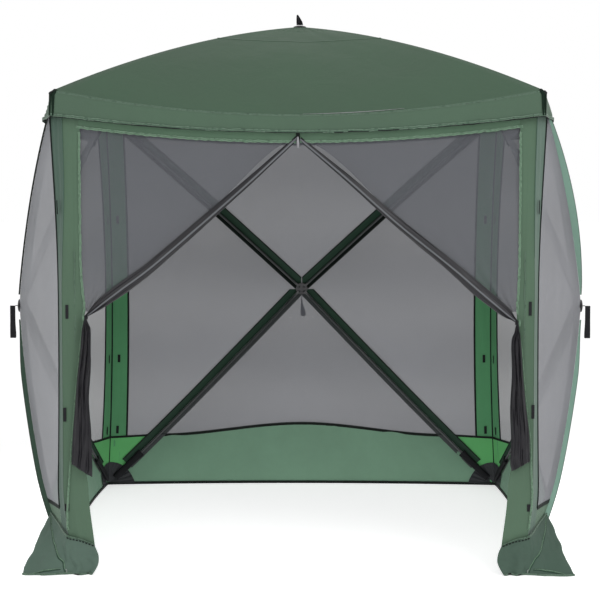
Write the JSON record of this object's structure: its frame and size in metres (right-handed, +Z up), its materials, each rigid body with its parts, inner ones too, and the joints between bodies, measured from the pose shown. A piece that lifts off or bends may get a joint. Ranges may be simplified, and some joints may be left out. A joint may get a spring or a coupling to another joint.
{
  "type": "screen shelter",
  "caption": "Pop-up square screen shelter with a domed cloth roof, netting walls pushed out by pole hubs, and a tied-back front door.",
  "frame": {"origin": "on the ground, under the middle of the bounding box", "axes": "+Z up; the door faces -Y; +X to the right when looking in through the door; X = 0 is the plane of symmetry"},
  "size_m": [2.405, 2.1924, 2.1068],
  "materials": {
    "green_polyester": "matt woven polyester",
    "light_green_polyester": "matt woven polyester",
    "grey_netting": "fine knitted mesh",
    "black_netting": "gathered knitted mesh",
    "black_webbing": "woven webbing",
    "black_nylon": "moulded, satin",
    "dark_fibreglass": "satin rod",
    "plated_zip_metal": "plated"
  },
  "bodies": {
    "shelter": {"back_left_foot_flap": "green_polyester", "back_left_foot_pocket": "black_webbing", "back_left_post": "light_green_polyester", "back_left_top_pocket": "black_webbing", "back_lower_band": "light_green_polyester", "back_netting_wall": "grey_netting", "back_right_foot_flap": "green_polyester", "back_right_foot_pocket": "black_webbing", "back_right_post": "light_green_polyester", "back_right_top_pocket": "black_webbing", "canopy": "green_polyester", "door_header": "light_green_polyester", "front_left_foot_flap": "green_polyester", "front_left_foot_pocket": "black_webbing", "front_left_post": "light_green_polyester", "front_left_top_pocket": "black_webbing", "front_right_foot_flap": "green_polyester", "front_right_foot_pocket": "black_webbing", "front_right_post": "light_green_polyester", "front_right_top_pocket": "black_webbing", "left_door_curtain": "black_netting", "left_lower_band": "light_green_polyester", "left_netting_wall": "grey_netting", "left_tie_back": "black_webbing", "right_door_curtain": "black_netting", "right_lower_band": "light_green_polyester", "right_netting_wall": "grey_netting", "right_tie_back": "black_webbing", "valance": "green_polyester"},
    "roof_hub": {"roof_hub": "black_nylon", "roof_hub_cap": "black_nylon"},
    "roof_pole_front_left": {"roof_pole_front_left": "dark_fibreglass"},
    "roof_pole_front_right": {"roof_pole_front_right": "dark_fibreglass"},
    "roof_pole_back_right": {"roof_pole_back_right": "dark_fibreglass"},
    "roof_pole_back_left": {"roof_pole_back_left": "dark_fibreglass"},
    "roof_pull_strap": {"roof_pull_strap": "black_webbing"},
    "left_hub": {"left_hub": "black_nylon", "left_hub_cap": "black_nylon"},
    "left_pole_front_lower": {"left_pole_front_lower": "dark_fibreglass"},
    "left_pole_back_lower": {"left_pole_back_lower": "dark_fibreglass"},
    "left_pole_back_upper": {"left_pole_back_upper": "dark_fibreglass"},
    "left_pole_front_upper": {"left_pole_front_upper": "dark_fibreglass"},
    "left_pull_strap": {"left_pull_strap": "black_webbing"},
    "right_hub": {"right_hub": "black_nylon", "right_hub_cap": "black_nylon"},
    "right_pole_front_lower": {"right_pole_front_lower": "dark_fibreglass"},
    "right_pole_back_lower": {"right_pole_back_lower": "dark_fibreglass"},
    "right_pole_back_upper": {"right_pole_back_upper": "dark_fibreglass"},
    "right_pole_front_upper": {"right_pole_front_upper": "dark_fibreglass"},
    "right_pull_strap": {"right_pull_strap": "black_webbing"},
    "back_hub": {"back_hub": "black_nylon", "back_hub_cap": "black_nylon"},
    "back_pole_left_lower": {"back_pole_left_lower": "dark_fibreglass"},
    "back_pole_right_lower": {"back_pole_right_lower": "dark_fibreglass"},
    "back_pole_right_upper": {"back_pole_right_upper": "dark_fibreglass"},
    "back_pole_left_upper": {"back_pole_left_upper": "dark_fibreglass"},
    "back_pull_strap": {"back_pull_strap": "black_webbing"},
    "door_zip_pull": {"door_zip_pull": "plated_zip_metal"}
  },
  "joints": [
    {"name": "roof_hub_pop", "type": "slide", "parent": "shelter", "child": "roof_hub", "axis": [0, 0, -1], "range_m": [0, 0.557], "deforming": ["canopy", "front_left_top_pocket", "front_right_top_pocket", "back_left_top_pocket", "back_right_top_pocket"]},
    {"name": "roof_pole_front_left_swing", "type": "hinge", "parent": "roof_hub", "child": "roof_pole_front_left", "pos_m": [-0.01376, -0.14733, 2.0324], "axis": [-0.7255, 0.6882, 0], "range_deg": [-1, 27.5]},
    {"name": "roof_pole_front_right_swing", "type": "hinge", "parent": "roof_hub", "child": "roof_pole_front_right", "pos_m": [0.01376, -0.14733, 2.0324], "axis": [-0.7255, -0.6882, 0], "range_deg": [-1, 27.5]},
    {"name": "roof_pole_back_right_swing", "type": "hinge", "parent": "roof_hub", "child": "roof_pole_back_right", "pos_m": [0.01414, -0.11868, 2.0324], "axis": [0.7071, -0.7071, 0], "range_deg": [-1, 26.81]},
    {"name": "roof_pole_back_left_swing", "type": "hinge", "parent": "roof_hub", "child": "roof_pole_back_left", "pos_m": [-0.01414, -0.11868, 2.0324], "axis": [0.7071, 0.7071, 0], "range_deg": [-1, 26.81]},
    {"name": "roof_pull_strap_bend", "type": "hinge", "parent": "roof_hub", "child": "roof_pull_strap", "pos_m": [0, -0.13282, 2.064], "axis": [1, 0, 0], "range_deg": [-45, 45], "stiffness_Nm_per_rad": 0.03},
    {"name": "left_hub_pop", "type": "slide", "parent": "shelter", "child": "left_hub", "axis": [1, 0, 0], "range_m": [0, 0.517], "deforming": ["left_netting_wall", "front_left_post", "front_left_foot_pocket", "front_left_top_pocket", "back_left_foot_pocket", "back_left_top_pocket"]},
    {"name": "left_pole_front_lower_swing", "type": "hinge", "parent": "left_hub", "child": "left_pole_front_lower", "pos_m": [-1.13952, -0.14994, 0.89775], "axis": [0, 0.7078, -0.7064], "range_deg": [-1, 25.05]},
    {"name": "left_pole_back_lower_swing", "type": "hinge", "parent": "left_hub", "child": "left_pole_back_lower", "pos_m": [-1.13952, -0.12164, 0.89779], "axis": [0, 0.7056, 0.7086], "range_deg": [-1, 25.02]},
    {"name": "left_pole_back_upper_swing", "type": "hinge", "parent": "left_hub", "child": "left_pole_back_upper", "pos_m": [-1.13952, -0.12099, 0.92532], "axis": [0, -0.6712, 0.7413], "range_deg": [-1, 26.17]},
    {"name": "left_pole_front_upper_swing", "type": "hinge", "parent": "left_hub", "child": "left_pole_front_upper", "pos_m": [-1.13952, -0.1506, 0.92537], "axis": [0, -0.6734, -0.7392], "range_deg": [-1, 26.26]},
    {"name": "left_pull_strap_swing", "type": "hinge", "parent": "left_hub", "child": "left_pull_strap", "pos_m": [-1.19152, -0.13581, 0.9119], "axis": [0, 1, 0], "range_deg": [-8, 95]},
    {"name": "right_hub_pop", "type": "slide", "parent": "shelter", "child": "right_hub", "axis": [-1, 0, 0], "range_m": [0, 0.517], "deforming": ["right_netting_wall", "front_right_post", "front_right_foot_pocket", "front_right_top_pocket", "back_right_foot_pocket", "back_right_top_pocket"]},
    {"name": "right_pole_front_lower_swing", "type": "hinge", "parent": "right_hub", "child": "right_pole_front_lower", "pos_m": [1.13952, -0.14994, 0.89775], "axis": [0, -0.7078, 0.7064], "range_deg": [-1, 25.05]},
    {"name": "right_pole_back_lower_swing", "type": "hinge", "parent": "right_hub", "child": "right_pole_back_lower", "pos_m": [1.13952, -0.12164, 0.89779], "axis": [0, -0.7056, -0.7086], "range_deg": [-1, 25.02]},
    {"name": "right_pole_back_upper_swing", "type": "hinge", "parent": "right_hub", "child": "right_pole_back_upper", "pos_m": [1.13952, -0.12099, 0.92532], "axis": [0, 0.6712, -0.7413], "range_deg": [-1, 26.17]},
    {"name": "right_pole_front_upper_swing", "type": "hinge", "parent": "right_hub", "child": "right_pole_front_upper", "pos_m": [1.13952, -0.1506, 0.92537], "axis": [0, 0.6734, 0.7392], "range_deg": [-1, 26.26]},
    {"name": "right_pull_strap_swing", "type": "hinge", "parent": "right_hub", "child": "right_pull_strap", "pos_m": [1.19152, -0.13581, 0.9119], "axis": [0, -1, 0], "range_deg": [-8, 95]},
    {"name": "back_hub_pop", "type": "slide", "parent": "shelter", "child": "back_hub", "axis": [0, -1, 0], "range_m": [0, 0.503], "deforming": ["back_netting_wall", "back_left_post", "back_right_post", "back_left_foot_pocket", "back_left_top_pocket", "back_right_foot_pocket", "back_right_top_pocket"]},
    {"name": "back_pole_left_lower_swing", "type": "hinge", "parent": "back_hub", "child": "back_pole_left_lower", "pos_m": [-0.01414, 1.03321, 0.89776], "axis": [0.7071, 0, -0.7071], "range_deg": [-1, 24.45]},
    {"name": "back_pole_right_lower_swing", "type": "hinge", "parent": "back_hub", "child": "back_pole_right_lower", "pos_m": [0.01414, 1.03321, 0.89776], "axis": [0.7071, 0, 0.7071], "range_deg": [-1, 24.45]},
    {"name": "back_pole_right_upper_swing", "type": "hinge", "parent": "back_hub", "child": "back_pole_right_upper", "pos_m": [0.0148, 1.03321, 0.92536], "axis": [-0.6729, 0, 0.7397], "range_deg": [-1, 25.59]},
    {"name": "back_pole_left_upper_swing", "type": "hinge", "parent": "back_hub", "child": "back_pole_left_upper", "pos_m": [-0.0148, 1.03321, 0.92536], "axis": [-0.6729, 0, -0.7397], "range_deg": [-1, 25.59]},
    {"name": "back_pull_strap_swing", "type": "hinge", "parent": "back_hub", "child": "back_pull_strap", "pos_m": [0, 1.08521, 0.9119], "axis": [1, 0, 0], "range_deg": [-8, 95]},
    {"name": "door_zip_pull_swing", "type": "hinge", "parent": "shelter", "child": "door_zip_pull", "pos_m": [0, -1.02832, 1.5794], "axis": [0, 1, 0], "range_deg": [-60, 60]}
  ],
  "couplings": [
    {"joint": "roof_pole_front_left_swing", "follows": "roof_hub_pop", "rad_per_m": 0.83031},
    {"joint": "roof_pole_front_right_swing", "follows": "roof_hub_pop", "rad_per_m": 0.83031},
    {"joint": "roof_pole_back_right_swing", "follows": "roof_hub_pop", "rad_per_m": 0.80871},
    {"joint": "roof_pole_back_left_swing", "follows": "roof_hub_pop", "rad_per_m": 0.80871},
    {"joint": "left_pole_front_lower_swing", "follows": "left_hub_pop", "rad_per_m": 0.81207},
    {"joint": "left_pole_back_lower_swing", "follows": "left_hub_pop", "rad_per_m": 0.8109},
    {"joint": "left_pole_back_upper_swing", "follows": "left_hub_pop", "rad_per_m": 0.84971},
    {"joint": "left_pole_front_upper_swing", "follows": "left_hub_pop", "rad_per_m": 0.85288},
    {"joint": "right_pole_front_lower_swing", "follows": "right_hub_pop", "rad_per_m": 0.81207},
    {"joint": "right_pole_back_lower_swing", "follows": "right_hub_pop", "rad_per_m": 0.8109},
    {"joint": "right_pole_back_upper_swing", "follows": "right_hub_pop", "rad_per_m": 0.84971},
    {"joint": "right_pole_front_upper_swing", "follows": "right_hub_pop", "rad_per_m": 0.85288},
    {"joint": "back_pole_left_lower_swing", "follows": "back_hub_pop", "rad_per_m": 0.81371},
    {"joint": "back_pole_right_lower_swing", "follows": "back_hub_pop", "rad_per_m": 0.81371},
    {"joint": "back_pole_right_upper_swing", "follows": "back_hub_pop", "rad_per_m": 0.85306},
    {"joint": "back_pole_left_upper_swing", "follows": "back_hub_pop", "rad_per_m": 0.85306}
  ]
}
